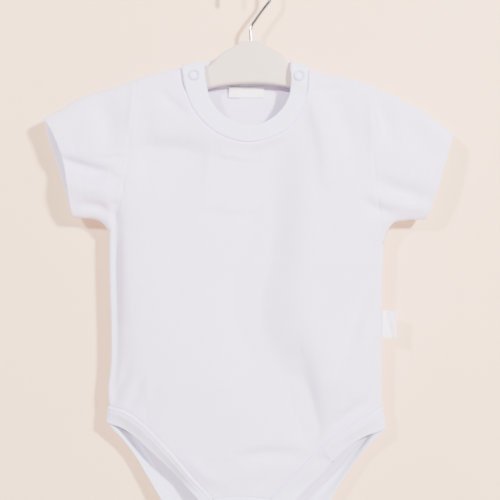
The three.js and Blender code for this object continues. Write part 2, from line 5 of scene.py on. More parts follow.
import bpy
import numpy as np
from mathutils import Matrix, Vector


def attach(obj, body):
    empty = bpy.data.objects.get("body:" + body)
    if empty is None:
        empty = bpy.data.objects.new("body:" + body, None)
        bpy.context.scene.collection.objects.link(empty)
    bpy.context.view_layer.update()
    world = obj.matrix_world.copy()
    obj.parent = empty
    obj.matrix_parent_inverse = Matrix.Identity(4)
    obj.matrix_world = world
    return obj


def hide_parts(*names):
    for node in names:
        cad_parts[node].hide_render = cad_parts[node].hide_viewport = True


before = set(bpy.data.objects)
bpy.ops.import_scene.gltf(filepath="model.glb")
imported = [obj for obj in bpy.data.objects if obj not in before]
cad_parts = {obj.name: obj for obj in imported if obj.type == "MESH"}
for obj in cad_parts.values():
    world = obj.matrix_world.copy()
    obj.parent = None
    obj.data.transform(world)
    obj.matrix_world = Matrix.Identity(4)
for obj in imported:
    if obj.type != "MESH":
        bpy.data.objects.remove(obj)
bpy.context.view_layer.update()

MM = 0.001
BODY = "root"
SIDES = ("left", "right")
FACES = ("front", "back")

# The picture
LENS = 90.0
SENSOR = 36.0
VIEW_WIDTH = 410.0  # what the frame spans at the garment's front
VIEW_MIDDLE = (-0.8, -226.7)
FRONT_PLANE = -8.0

# Cloth thicknesses
JERSEY = 0.9
HEM = 1.5
RIB = 2.0
RIB_PROUD = 0.5  # a rib stands this much above the panel beside it
SEAM_SINK = 0.95  # the cloth dips this much where it is sewn to its neighbour
SEAM_WIDE = 1.2
ARMHOLE_SINK = 0.6  # the share of that dip at an armhole
SEAM_LEAST = 0.5  # the share of its dip by which a panel's inside dips too
HEM_WIDTH = 11.5
BINDING_ROLL = 0.7  # how far a binding's free edge turns in, as a share of the depth there
ROLL_STARTS = (16, 44)  # and it does so past this stretch from the binding's ends, which lie in the placket

# The front rib's ends lie over the back rib's at the shoulders
LAP_LENGTH = 13.0
LAP_LIFT = 2.3
LAP_RAMP = 26.0

# The garment's form, as in the solids
OVER_ARM = 7.4
ARM_ROUND = 3.0
CHEST_ROUND = 45.0
SIDE_ROUND = 22.0
ON_LINE = 0.1
LEAST_HALF = 3.0  # no fold presses the front nearer to the middle than this
# height, full half depth of the front, of the back
DEPTHS = [
    (-60, 12.5, 11), (-180, 13.5, 12), (-330, 13, 12.5), (-390, 10, 11), (-432, 6, 8), (-462, 5.8, 7),
]
FLAP_FOLD = -462.0
FLAP_MIDDLE = 1.65
FLAP_RADIUS = 5.35

# Outlines, each a list of (x, z)
SHOULDER = {
    "left": [(-95, -85.7), (-85.3, -82.2), (-70.5, -78.6), (-57, -75.8)],
    "right": [(96, -88.5), (80, -85), (66.4, -82), (46.7, -77.5)],
}
NECK_SEAM = {
    "front": [
        (-57, -75.8), (-54.3, -92), (-48.4, -108.7), (-39.4, -121), (-25.4, -132), (-4, -138.2),
        (14, -135.3), (30, -127.4), (39.4, -115.2), (45.1, -99.6), (46.7, -77.5),
    ],
    "back": [(-57, -75.8), (-47, -84.5), (-30, -88.5), (-5, -90), (20, -88.5), (37, -84.5), (46.7, -77.5)],
}
NECK_EDGE = {
    "front": [
        (-38.5, -73.2), (-37.2, -87), (-33.6, -102), (-26.2, -112.8), (-13.1, -121.8), (-0.8, -124.6),
        (11.5, -121.8), (23.8, -112.8), (31.2, -100.5), (32.8, -87), (32, -72.2),
    ],
    "back": [
        (-38.5, -73.2), (-32.5, -69.5), (-20, -71.5), (-4, -74), (12, -73.5), (26, -71), (32, -72.2),
    ],
}
ARMHOLE = {
    "left": [
        (-95, -85.7), (-94.5, -100), (-97, -118), (-100, -140), (-102, -158), (-105, -176), (-110.5, -196),
        (-117.3, -212),
    ],
    "right": [
        (96, -88.5), (100, -104), (100.3, -122), (100, -141), (101.5, -165), (104.5, -188), (107.5, -206),
        (109.5, -221.8),
    ],
}
SIDE_SEAM = {
    "left": [
        (-117.3, -212), (-117.3, -235), (-115.8, -292), (-116, -320), (-118.2, -344), (-117.3, -355.5),
    ],
    "right": [(109.5, -221.8), (108.5, -260), (108.2, -320), (108.5, -356.3)],
}
SLEEVE_TOP = {
    "left": [(-95, -85.7), (-113.2, -92.3), (-143.5, -102.1), (-159.1, -111.9), (-171.4, -118)],
    "right": [(96, -88.5), (114, -97.2), (133.7, -107), (150, -116.9), (166.5, -131.6)],
}
CUFF = {
    ("left", "front"): [
        (-171.4, -118), (-164.8, -127), (-157, -145), (-152, -165), (-149.2, -186), (-146.8, -199.7),
    ],
    ("left", "back"): [
        (-171.4, -118), (-169.4, -131), (-163.5, -150), (-156.6, -170), (-151, -190), (-146.8, -199.7),
    ],
    ("right", "front"): [(166.5, -131.6), (162.4, -145), (156.6, -165), (150.1, -186), (144.3, -201.3)],
    ("right", "back"): [(166.5, -131.6), (161, -145), (154.6, -165), (148.6, -186), (144.3, -201.3)],
}
UNDERARM = {
    "left": [(-117.3, -212), (-120.8, -206.5), (-127, -202), (-146.8, -199.7)],
    "right": [(109.5, -221.8), (112.5, -212), (118.1, -204.2), (127, -202.3), (144.3, -201.3)],
}
LEG_SEAM = {
    ("left", "front"): [
        (-117.3, -355.5), (-103.3, -358.8), (-86.9, -370.2), (-64, -394), (-47.6, -413.7), (-32, -430.9),
    ],
    ("left", "back"): [
        (-117.3, -355.5), (-100.9, -376), (-82.8, -401.4), (-67.2, -426.8), (-50, -447.3), (-34.5, -463),
        (-29.4, -475), (-28.7, -488.8),
    ],
    ("right", "front"): [
        (108.5, -356.3), (97.6, -362), (81.2, -371.9), (56.6, -389.1), (32, -414.5), (15.6, -430.9),
    ],
    ("right", "back"): [
        (108.5, -356.3), (94.3, -383.4), (75.4, -407.1), (56.6, -427.6), (36.1, -449), (20, -463.5),
        (14.2, -475), (13.1, -488.8),
    ],
}
LEG_EDGE = {
    ("left", "front"): [(-119.3, -369.4), (-105.8, -374.3), (-91, -385), (-66.4, -408.8), (-44.3, -430.9)],
    ("left", "back"): [
        (-119.3, -369.4), (-100.9, -390.7), (-84.5, -417), (-68.9, -441.6), (-58.2, -453.1),
        (-45.5, -464.5), (-39, -476), (-38.2, -488.8),
    ],
    ("right", "front"): [(110.7, -375.2), (93.5, -380.9), (77.1, -391.6), (54.9, -415.3), (37.7, -430.9)],
    ("right", "back"): [
        (110.7, -375.2), (96.8, -389.1), (75.4, -418.6), (60.7, -441.6), (50, -452.2), (32.5, -465),
        (25.5, -476), (24.5, -488.8),
    ],
}
CROTCH_EDGE = {
    "front": [(-32, -430.9), (-8, -428.6), (15.6, -430.9)],
    "back": [(-28.7, -488.8), (-8, -488.4), (13.1, -488.8)],
}
PLACKET_END = {"front": -449.0, "back": -506.8}
PLACKET_SEAM = {"left": -26.2, "right": 9.8}
PLACKET_EDGE = {"left": -37.0, "right": 21.0}

# Troughs and ridges: face, line, half width on the line's left and right going along it, height
FOLDS = [
    # from the neck down the middle, then curving to the right leg
    ("front", [(20, -122), (16, -180), (9, -230), (1, -268), (6, -298), (22, -326), (48, -372)], 21, 34, -6.2),
    ("front", [(42, -150), (46, -215), (40, -262), (52, -300), (68, -330)], 12, 16, 1.8),
    ("front", [(43, -320), (46, -350), (54, -386)], 8, 13, -3.4),
    # the left side's broad slope, and the tuck beside it
    ("front", [(-101, -205), (-96, -262), (-88, -330)], 30, 14, 2.6),
    ("front", [(-112, -190), (-112, -240), (-113.5, -300), (-115, -352)], 5, 3, -4.8),
    # the right side
    ("front", [(105, -228), (97, -254), (86, -284), (77, -314)], 7, 17, -3.4),
    ("front", [(98, -300), (93, -330), (80, -352)], 8, 12, 1.6),
    ("front", [(92, -185), (104, -193), (117, -196)], 4, 7, -2.2),
    # chest and shoulders
    ("front", [(-96, -148), (-64, -146), (-34, -149)], 10, 28, -5.4),
    ("front", [(-73, -97), (-65, -106), (-56, -112)], 3, 5, -1.8),
    ("front", [(-90, -112), (-84, -140), (-88, -170)], 7, 12, -1.6),
    ("front", [(48, -103), (54, -118), (60, -142), (62, -168)], 9, 6, 2.3),
    ("front", [(61, -112), (68, -130), (74, -150)], 6, 9, 1.6),
    ("front", [(52, -97), (64, -95), (80, -93.5)], 3, 5, -1.8),
    ("front", [(68, -100), (74, -122), (80, -150)], 13, 13, -3.0),
    ("front", [(97, -94), (99.5, -118), (99, -145)], 3.5, 3.5, 1.4),
    ("front", [(104, -104), (108, -120), (112, -134)], 8, 5, -3.4),
    ("front", [(-96, -90), (-97.5, -110), (-99.5, -128)], 3.5, 3, 1.2),
    ("front", [(-37, -196), (-10, -199), (16, -196)], 3, 6, -0.7),
    # sleeves
    ("front", [(-124, -102), (-119, -122), (-117, -140)], 12, 9, -3.6),
    ("front", [(-156, -152), (-136, -159), (-117, -163)], 4, 10, -4.4),
    ("front", [(-150, -172), (-130, -176), (-112, -182)], 8, 8, 1.8),
    ("front", [(-142, -190), (-126, -191), (-113, -198)], 4, 6, -2.2),
    ("front", [(102, -170), (120, -178), (143, -184)], 7, 10, -3.2),
    ("front", [(104, -182), (124, -189), (146, -194)], 6, 6, 1.8),
    ("front", [(126, -120), (140, -135), (150, -150)], 9, 12, -1.6),
    # above the legs
    ("front", [(-114, -354), (-107, -338), (-101, -322)], 3, 4, -1.4),
    ("front", [(-104, -359), (-95, -345), (-89, -330)], 3, 4, -1.3),
    ("front", [(-94, -366), (-84, -354), (-78, -338)], 4, 5, -0.8),
    ("front", [(-12, -397), (20, -394), (52, -397)], 5, 9, -2.4),
    ("front", [(66, -376), (80, -362), (96, -350)], 5, 7, -1.8),
    ("front", [(-58, -396), (-40, -410), (-20, -419)], 6, 8, 1.2),
    ("front", [(4, -424), (16, -412), (24, -402)], 4, 5, -1.2),
    # the back, much the same
    ("back", [(-70, -122), (-36, -137), (2, -141), (40, -134), (64, -118)], 8, 16, -3.0),
    ("back", [(-34, -168), (-26, -222), (-36, -272), (-54, -330)], 12, 24, -4.4),
    ("back", [(46, -176), (38, -238), (46, -292), (38, -346)], 20, 11, -3.8),
    ("back", [(8, -190), (2, -260), (10, -330)], 16, 15, 1.8),
    ("back", [(99, -214), (95, -272), (84, -332)], 7, 24, 2.2),
    ("back", [(-110, -205), (-108, -262), (-111, -340)], 4, 6, -2.6),
    ("back", [(104, -232), (94, -262), (80, -300)], 6, 14, -2.8),
    ("back", [(-84, -104), (-78, -130), (-86, -160)], 9, 11, -2.4),
    ("back", [(76, -104), (82, -128), (78, -156)], 10, 10, -2.6),
    ("back", [(-146, -150), (-128, -158), (-112, -166)], 5, 9, -2.8),
    ("back", [(-144, -184), (-126, -186), (-112, -196)], 4, 7, -1.8),
    ("back", [(104, -160), (122, -170), (144, -180)], 5, 9, -3.0),
    ("back", [(106, -186), (126, -190), (144, -193)], 5, 7, 1.4),
    ("back", [(-98, -352), (-66, -384), (-36, -424)], 9, 14, 2.2),
    ("back", [(92, -358), (62, -390), (26, -430)], 13, 9, 2.0),
    ("back", [(-40, -376), (-8, -384), (24, -374)], 6, 11, -2.4),
    ("back", [(-108, -352), (-92, -330), (-82, -306)], 4, 6, -1.8),
    ("back", [(100, -350), (88, -328), (80, -306)], 4, 6, -1.6),
    ("back", [(-14, -412), (-4, -432), (-10, -450)], 7, 8, -1.4),
]

FOLD_DEEP = 1.9

# Knit and thread
KNIT_WALE = 0.85
KNIT_COURSE = 0.7
RIB_WALE = 1.3
STITCH_LENGTH = 2.3
STITCH_WIDTH = 0.5
STITCH_PITCH = 2.9
STITCH_SIDES = 5
BINDING_ROWS = (1.7, 4.6)

# Snaps, labels, hanger and hook
SNAP_OUTER = 4.75
SNAP_INNER = 2.8
SNAP_HEIGHT = 1.1
SNAP_BEDDED = 0.5
SHOULDER_SNAPS = {"left": (-46.3, -84), "right": (39.5, -84.5)}
CROTCH_SNAPS = {"left": -22.5, "middle": -8.0, "right": 6.5}
CROTCH_SNAP_Z = -440.0
NECK_LABEL = {"left": -18.5, "right": 10.7, "top": -90.8, "bottom": -99.8}
NECK_LABEL_STEP = (-9.4, -8.6)  # the label's left third stands a little proud
SIDE_LABEL = {"left": 108.4, "right": 119.7, "top": -276.8, "bottom": -299.3}
HANGER_THICK = 8.4
HANGER_ROUND = 2.6
HANGER_POINTS = 190
# Half of the outline, from the middle of the top, round the tip, to the middle of the bottom
HANGER_HALF = [
    (0, -54.5), (8.2, -54.5), (8.6, -54.9), (8.6, -56.6), (10.2, -57.2), (17, -60.2), (25, -65),
    (28.5, -68.4), (31.5, -72.4), (38, -76.6), (46.7, -80.6), (57, -82.2), (66, -84.4), (80, -87.8),
    (96, -92), (105, -96), (113, -100.2), (117.5, -104.5), (117, -111), (111, -113.6), (96, -107.5),
    (75, -101.5), (57, -97.5), (38, -94), (24, -91), (12, -89.4), (0, -89),
]
HOOK_WIRE = 1.6
HOOK_CIRCLE = 16.5
HOOK_SHANK = [(0, -67), (0, -54.5), (0, -43), (3.6, -37), (8.2, -30.5), (12.3, -25.2)]
HOOK_ARC = (-24, 196)
HOOK_STEPS = 150
HOOK_SIDES = 24

# Stage and light. A lamp: name, angle to the right, angle above, distance, size (m), power (W), colour
WALL_BEHIND = 16.5
FLOOR_BELOW = -750.0
LAMPS = [
    ("lamp_right", 35, 20, 1.7, 0.2, 109, (1, 0.945, 0.98)),
    ("lamp_left", -33, 24, 1.7, 0.2, 49, (1, 0.945, 0.98)),
    ("lamp_behind", 143, 28, 1.7, 0.5, 40, (0.97, 0.97, 1)),
]
SKY = 0.13
SKY_COLOUR = (0.95, 0.96, 1.0)


# Camera, which comes first

def make_camera():
    data = bpy.data.cameras.new("camera")
    data.lens = LENS
    data.sensor_width = SENSOR
    data.clip_start = 0.05
    data.clip_end = 50
    camera = bpy.data.objects.new("camera", data)
    bpy.context.scene.collection.objects.link(camera)
    distance = VIEW_WIDTH * LENS / SENSOR
    camera.location = Vector((VIEW_MIDDLE[0], FRONT_PLANE - distance, VIEW_MIDDLE[1])) * MM
    camera.rotation_euler = (math.pi / 2, 0, 0)
    bpy.context.scene.camera = camera


make_camera()


# Curves in the garment's plane

def curve_points(points, per_span=24):
    """Close points on the centripetal Catmull-Rom curve through the points."""
    p = np.asarray(points, float)
    p = np.vstack([2 * p[0] - p[1], p, 2 * p[-1] - p[-2]])
    t = np.linspace(0, 1, per_span, endpoint=False)[:, None]
    spans = []
    for a, b, c, d in zip(p, p[1:], p[2:], p[3:]):
        da, db, dc = (math.sqrt(np.linalg.norm(v)) for v in (b - a, c - b, d - c))
        start = ((b - a) / da - (c - a) / (da + db) + (c - b) / db) * db
        end = ((c - b) / db - (d - b) / (db + dc) + (d - c) / dc) * db
        cubic = 2 * b - 2 * c + start + end
        square = -3 * b + 3 * c - 2 * start - end
        spans.append(b + start * t + square * t**2 + cubic * t**3)
    return np.vstack([*spans, p[-2:-1]])


def run_of(points):
    """The length along a line of points, at each of them."""
    steps = np.linalg.norm(np.diff(points, axis=0), axis=1)
    return np.concatenate([[0], np.cumsum(steps)])


def at_run(points, wanted):
    """The places on a line of points at the wanted lengths along it."""
    run = run_of(points)
    return np.stack([np.interp(wanted, run, points[:, k]) for k in range(points.shape[1])], axis=-1)


def along(points, shares):
    """The curve's points at the given shares of its length."""
    close = curve_points(points)
    return at_run(close, np.asarray(shares) * run_of(close)[-1])


def evenly(steps):
    return np.linspace(0, 1, steps + 1)


def crowded(steps):
    """Shares that crowd towards both ends."""
    return (1 - np.cos(np.pi * evenly(steps))) / 2


NEAR_END = np.array([0, 0.15, 0.4, 0.8, 1.4, 2.2, 3.2])


def fine_ends(length, steps, start=True, end=True):
    """Shares of a length in the given number of steps, finer next to its ends."""
    low = NEAR_END if start else np.zeros(1)
    high = length - NEAR_END[::-1] if end else np.array([length])
    between = steps - (len(low) - 1) - (len(high) - 1)
    body = np.linspace(low[-1], high[0], between + 1)[1:-1]
    return np.concatenate([low, body, high]) / length


def nearest_on(line, x, z):
    """How far each place is from a line, where along the line that is, and on which side of it."""
    line = np.asarray(line, float)
    run = run_of(line)
    least = np.full(x.shape, 1e9)
    at = np.zeros(x.shape)
    side = np.zeros(x.shape)
    for k in range(len(line) - 1):
        (ax, az), (bx, bz) = line[k], line[k + 1]
        dx, dz = bx - ax, bz - az
        size2 = dx * dx + dz * dz
        if size2 < 1e-12:
            continue
        t = np.clip(((x - ax) * dx + (z - az) * dz) / size2, 0, 1)
        ex, ez = x - ax - t * dx, z - az - t * dz
        far = np.hypot(ex, ez)
        closer = far < least
        least = np.where(closer, far, least)
        at = np.where(closer, run[k] + t * math.sqrt(size2), at)
        side = np.where(closer, np.sign(dx * ez - dz * ex), side)
    return least, at, side


def far_from(lines, x, z):
    """How far each place is from the nearest of some lines."""
    return np.min([nearest_on(line, x, z)[0] for line in lines], axis=0)


def sampled(points):
    return along(points, evenly(60))


TOP_LINES = [
    np.vstack([sampled(SLEEVE_TOP[side])[::-1], sampled(SHOULDER[side]), [NECK_EDGE["front"][end]]])
    for side, end in zip(SIDES, (0, -1))
]
SIDE_LINES = [
    np.vstack([sampled(UNDERARM[side])[::-1], sampled(SIDE_SEAM[side]), [LEG_EDGE[side, "front"][0]]])
    for side in SIDES
]


# The form

def rounding(distance, reach):
    return 1 - np.exp(-np.maximum(distance - ON_LINE, 0) / reach)


def smoothstep(value, low, high):
    t = np.clip((value - low) / (high - low), 0, 1)
    return t * t * (3 - 2 * t)


def full_depth(face, z):
    column = 1 if face == "front" else 2
    depth = np.full(z.shape, float(DEPTHS[0][column]))
    for upper, lower in zip(DEPTHS, DEPTHS[1:]):
        depth = depth + (lower[column] - upper[column]) * smoothstep(-z, -upper[0], -lower[0])
    return depth


def fold_relief(face, x, z):
    relief = np.zeros(x.shape)
    for fold_face, line, left, right, high in FOLDS:
        if fold_face != face:
            continue
        close = curve_points(line, 6)
        far, at, side = nearest_on(close, x, z)
        share = at / run_of(close)[-1]
        fade = 0.25 + 0.75 * np.sin(np.pi * np.clip(share, 0.02, 0.98)) ** 0.6
        relief += FOLD_DEEP * high * fade * np.exp(-((far / np.where(side > 0, left, right)) ** 2))
    return relief


def beside_rib(face, x, z):
    """How much of the folds is left: little in the neck's rib and the legs' bindings, which are firmer."""
    neck, _, inside = nearest_on(sampled(NECK_SEAM[face]), x, z)
    legs = far_from([sampled(LEG_SEAM[side, face]) for side in SIDES], x, z)
    from_neck = np.where(inside > 0, 0, neck) if face == "front" else neck
    return (0.3 + 0.7 * smoothstep(from_neck, 0, 9)) * (0.4 + 0.6 * smoothstep(legs, 0, 10))


def soft_waves(face, x, z):
    """The slight unevenness of cloth that nothing presses flat."""
    turn = 0.0 if face == "front" else 2.1
    broad = np.sin(x / 19 + z / 47 + turn) * np.sin(z / 31 - x / 67 + 0.7)
    small = np.sin(x / 8.3 - z / 23 + 1.9 + turn) * np.sin(z / 14.5 + x / 29)
    return 0.45 * broad + 0.16 * small


def half_depth(face, x, z):
    from_top = far_from(TOP_LINES, x, z)
    from_side = far_from(SIDE_LINES, x, z)
    arm2 = OVER_ARM**2
    rest2 = full_depth(face, z) ** 2 - arm2
    over_arm = arm2 * rounding(from_top, ARM_ROUND) + rest2 * rounding(from_top, CHEST_ROUND)
    closed = rounding(from_side, SIDE_ROUND)
    calm = rounding(from_top, 12) * rounding(from_side, 5) * beside_rib(face, x, z)
    depth = np.sqrt(np.maximum(over_arm * closed, 0))
    relief = fold_relief(face, x, z) + soft_waves(face, x, z)
    return depth + np.maximum(relief * calm, LEAST_HALF - depth) * np.where(depth > LEAST_HALF, 1, 0)


def place(face, flat):
    """Places on the garment's outer face for flat ones (x, z). The back's lowest stretch is the turned-up flap."""
    x, z = flat[..., 0], flat[..., 1]
    depth = half_depth(face, x, z)
    if face == "front":
        return np.stack([x, -depth, z], axis=-1)
    past = FLAP_FOLD - z
    turn = np.clip(past / FLAP_RADIUS, 0, math.pi)
    climbed = np.maximum(past - math.pi * FLAP_RADIUS, 0)
    y = FLAP_MIDDLE + (depth - FLAP_MIDDLE) * np.cos(turn)
    height = np.where(past > 0, FLAP_FOLD - FLAP_RADIUS * np.sin(turn) + climbed, z)
    return np.stack([x, np.where(past > 0, y, depth), height], axis=-1)


# Cut pieces: a grid of places for each, all of which then share their normals where they meet

cuts = {}


def cut(name, places, turn, loop=False, out=0.0, into=JERSEY, **fields):
    shape = places.shape[:2]
    cuts[name] = {
        **fields,
        "places": places,
        "turn": turn,
        "loop": loop,
        "out": np.broadcast_to(out, shape),
        "into": np.broadcast_to(into, shape),
    }


def grid_sums(places, turn, loop):
    """The sum of the face normals around each place of a grid, by their faces' area."""
    beside = np.roll(places, -1, axis=1)
    a, b, c, d = places[:-1], beside[:-1], beside[1:], places[1:]
    normal = np.cross(c - a, d - b) * turn
    if not loop:
        normal[:, -1] = 0
    sums = np.zeros(places.shape)
    sums[:-1] += normal
    sums[1:] += normal
    moved = np.roll(normal, 1, axis=1)
    sums[:-1] += moved
    sums[1:] += moved
    return sums


def share_normals():
    places = np.concatenate([piece["places"].reshape(-1, 3) for piece in cuts.values()])
    sums = np.concatenate([
        grid_sums(piece["places"], piece["turn"], piece["loop"]).reshape(-1, 3) for piece in cuts.values()
    ])
    _, spot = np.unique(np.round(places, 2) + 0.0, axis=0, return_inverse=True)
    spot = spot.ravel()
    total = np.stack([np.bincount(spot, sums[:, k]) for k in range(3)], axis=-1)[spot]
    total /= np.maximum(np.linalg.norm(total, axis=1, keepdims=True), 1e-12)
    start = 0
    for piece in cuts.values():
        shape = piece["places"].shape
        count = shape[0] * shape[1]
        piece["normals"] = total[start:start + count].reshape(shape)
        start += count


def outer_face(name):
    piece = cuts[name]
    return piece["places"] + piece["normals"] * piece["out"][..., None]


# Meshes

def mesh_from(name, points, faces):
    mesh = bpy.data.meshes.new(name)
    mesh.from_pydata((np.asarray(points).reshape(-1, 3) * MM).tolist(), [], faces)
    mesh.validate()
    mesh.update()
    return mesh


def link(name, mesh, look, slot, *nodes):
    piece = bpy.data.objects.new(name, mesh)
    bpy.context.scene.collection.objects.link(piece)
    mesh.materials.append(look)
    mesh.shade_smooth()
    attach(piece, BODY)
    if nodes:
        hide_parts(*nodes)
    return piece


def shell_faces(rows, columns, turn, loop):
    """Faces of a closed wall of two layers of the same grid, the outer one first."""
    index = np.arange(2 * rows * columns).reshape(2, rows, columns)
    if loop:
        index = np.concatenate([index, index[:, :, :1]], axis=2)
    outer, inner = index
    strips = [
        (outer[:-1, :-1], outer[:-1, 1:], outer[1:, 1:], outer[1:, :-1]),
        (inner[:-1, :-1], inner[1:, :-1], inner[1:, 1:], inner[:-1, 1:]),
        (outer[0, :-1], inner[0, :-1], inner[0, 1:], outer[0, 1:]),
        (outer[-1, :-1], outer[-1, 1:], inner[-1, 1:], inner[-1, :-1]),
    ]
    if not loop:
        strips.append((outer[:-1, 0], outer[1:, 0], inner[1:, 0], inner[:-1, 0]))
        strips.append((outer[:-1, -1], inner[:-1, -1], inner[1:, -1], outer[1:, -1]))
    faces = np.concatenate([np.stack([corner.ravel() for corner in strip], axis=-1) for strip in strips])
    return (faces if turn > 0 else faces[:, ::-1]).tolist()


def cloth_map(mesh, places, straight=False):
    """Stores each point's place on the cloth in millimetres, for its knit: across its columns and down its rows.
    Straight knit follows the panel's own x and height; a band's ribs follow its middle row."""
    if straight:
        across, down = places[..., 0], places[..., 2]
    else:
        across = np.linalg.norm(np.diff(places, axis=1, prepend=places[:, :1]), axis=-1).cumsum(axis=1)
        across = np.broadcast_to(across[len(across) // 2], across.shape)
        down = np.linalg.norm(np.diff(places, axis=0, prepend=places[:1]), axis=-1).cumsum(axis=0)
    flat = np.stack([across, down, np.zeros(down.shape)], axis=-1)
    both = np.concatenate([flat.reshape(-1, 3)] * 2)
    attribute = mesh.attributes.new("cloth", "FLOAT_VECTOR", "POINT")
    attribute.data.foreach_set("vector", both.astype(np.float32).ravel())


def sew(name, look, slot, threads=()):
    """The wall of a cut piece, as a sheet that replaces the node of the same name."""
    piece = cuts[name]
    places, normals = piece["places"], piece["normals"]
    layers = np.stack([outer_face(name), places - normals * piece["into"][..., None]])
    rows, columns = places.shape[:2]
    mesh = mesh_from(name + "_cloth", layers, shell_faces(rows, columns, piece["turn"], piece["loop"]))
    cloth_map(mesh, places, straight=name.endswith("_panel"))
    made = link(name + "_cloth", mesh, look, slot, name)


# Grids

SHOULDER_STEPS, NECK_STEPS = 26, 98
LEG_STEPS, CROTCH_STEPS = 62, 26
ARMHOLE_STEPS, SIDE_STEPS = 74, 84
SLEEVE_STEPS, BAND_STEPS, PLACKET_STEPS = 44, 20, 12

SHOULDER_SHARES = fine_ends(42, SHOULDER_STEPS, end=False)
NECK_SHARES = fine_ends(190, NECK_STEPS)
LEG_SHARES = fine_ends(120, LEG_STEPS, end=False)
ARMHOLE_SHARES = fine_ends(128, ARMHOLE_STEPS)
SIDE_SHARES = fine_ends(144, SIDE_STEPS, start=False)


def panel_flat(face):
    """A panel's grid of flat places: its top and bottom blended, and moved to meet its sides."""
    top = np.vstack([
        along(SHOULDER["left"], SHOULDER_SHARES),
        along(NECK_SEAM[face], NECK_SHARES)[1:],
        along(SHOULDER["right"], SHOULDER_SHARES)[::-1][1:],
    ])
    bottom = np.vstack([
        along(LEG_SEAM["left", face], LEG_SHARES),
        along(CROTCH_EDGE[face], evenly(CROTCH_STEPS))[1:],
        along(LEG_SEAM["right", face], LEG_SHARES)[::-1][1:],
    ])
    left, right = (
        np.vstack([along(ARMHOLE[side], ARMHOLE_SHARES), along(SIDE_SEAM[side], SIDE_SHARES)[1:]])
        for side in SIDES
    )
    fallen = (left[:, 1] - left[0, 1]) / (left[-1, 1] - left[0, 1])
    v = 1 - np.maximum(1 - fallen, 0) ** (1.5 if face == "back" else 1.0)
    share = [(row[:, 0] - row[0, 0]) / (row[-1, 0] - row[0, 0]) for row in (top, bottom)]
    u = (share[0] + share[1]) / 2
    v, u = v[:, None, None], u[None, :, None]
    left_miss = left[:, None] - (1 - v) * left[0] - v * left[-1]
    right_miss = right[:, None] - (1 - v) * right[0] - v * right[-1]
    return (1 - v) * top[None] + v * bottom[None] + (1 - u) * left_miss + u * right_miss


def sleeve_flat(side, face):
    out = fine_ends(56, SLEEVE_STEPS)
    armhole = along(ARMHOLE[side], ARMHOLE_SHARES)[:, None]
    cuff = along(CUFF[side, face], ARMHOLE_SHARES)[:, None]
    top = along(SLEEVE_TOP[side], out)[None]
    under = along(UNDERARM[side], out)[None]
    u, v = out[None, :, None], ARMHOLE_SHARES[:, None, None]
    top_miss = top - (1 - u) * top[:, :1] - u * top[:, -1:]
    under_miss = under - (1 - u) * under[:, :1] - u * under[:, -1:]
    return (1 - u) * armhole + u * cuff + (1 - v) * top_miss + v * under_miss


def strip_flat(start, end, shares):
    t = np.asarray(shares)[:, None, None]
    return (1 - t) * start[None] + t * end[None]


def sunk(far):
    """How the cloth dips towards a seam."""
    return -SEAM_SINK * np.exp(-((far / SEAM_WIDE) ** 2))


def rounded(distance, radius=1.0):
    """The share of its thickness that an edge has at a distance from its end."""
    gone = 1 - np.minimum(distance, radius) / radius
    return 0.12 + 0.88 * np.sqrt(np.maximum(1 - gone**2, 0))


# Pieces of jersey

def cut_panels():
    for face, turn in zip(FACES, (-1, 1)):
        flat = panel_flat(face)
        x, z = flat[..., 0], flat[..., 1]
        ribs = [sampled(line) for line in (NECK_SEAM[face], LEG_SEAM["left", face], LEG_SEAM["right", face])]
        arms = [sampled(line) for line in ARMHOLE.values()]
        dip = np.minimum(sunk(far_from(ribs, x, z)), ARMHOLE_SINK * sunk(far_from(arms, x, z)))
        cut(face + "_panel", place(face, flat), turn, out=dip, into=JERSEY - SEAM_LEAST * dip)


def cut_sleeve(side, turn):
    halves, folds = [], []
    for face in FACES:
        flat = sleeve_flat(side, face)
        x, z = flat[..., 0], flat[..., 1]
        from_cuff = nearest_on(sampled(CUFF[side, face]), x, z)[0]
        from_armhole = nearest_on(sampled(ARMHOLE[side]), x, z)[0]
        hem = 0.3 * (1 - smoothstep(from_cuff, HEM_WIDTH - 0.8, HEM_WIDTH + 0.8))
        stitched = -0.3 * np.exp(-(((from_cuff - HEM_WIDTH) / 0.8) ** 2))
        halves.append(place(face, flat))
        folds.append((ARMHOLE_SINK * sunk(from_armhole) + hem + stitched, from_cuff))
    ring = np.concatenate([halves[0], halves[1][1:-1][::-1]])
    out, from_cuff = (np.concatenate([front, back[1:-1][::-1]]) for front, back in zip(*folds))
    into = JERSEY + (HEM - JERSEY - 0.3) * (1 - smoothstep(from_cuff, HEM_WIDTH - 0.8, HEM_WIDTH + 0.8))
    middle, half = (out - into) / 2, (out + into) / 2 * rounded(from_cuff, 0.75)
    sleeve = np.swapaxes(ring, 0, 1)
    cut("sleeve_" + side, sleeve, turn, True, (middle + half).T, (half - middle).T, from_cuff=from_cuff.T)


# Pieces of rib

def rib_profile(width, ends=None):
    """Out and into of a rib's strip: crowned, its seam sunk, its free edge and any ends rounded."""
    t = crowded(BAND_STEPS)[:, None]
    from_seam, from_edge = t * width, (1 - t) * width
    out = RIB_PROUD + 0.25 * np.sin(np.pi * t) - (RIB_PROUD + SEAM_SINK) * (1 - rounded(from_seam, 1.3))
    into = np.full(out.shape, RIB - RIB_PROUD)
    share = rounded(from_edge)
    if ends is not None:
        share = share * rounded(ends)[None]
    middle, half = (out - into) / 2, (out + into) / 2 * share
    return middle + half, half - middle


def widths(start, end):
    return np.linalg.norm(end - start, axis=-1)[None]


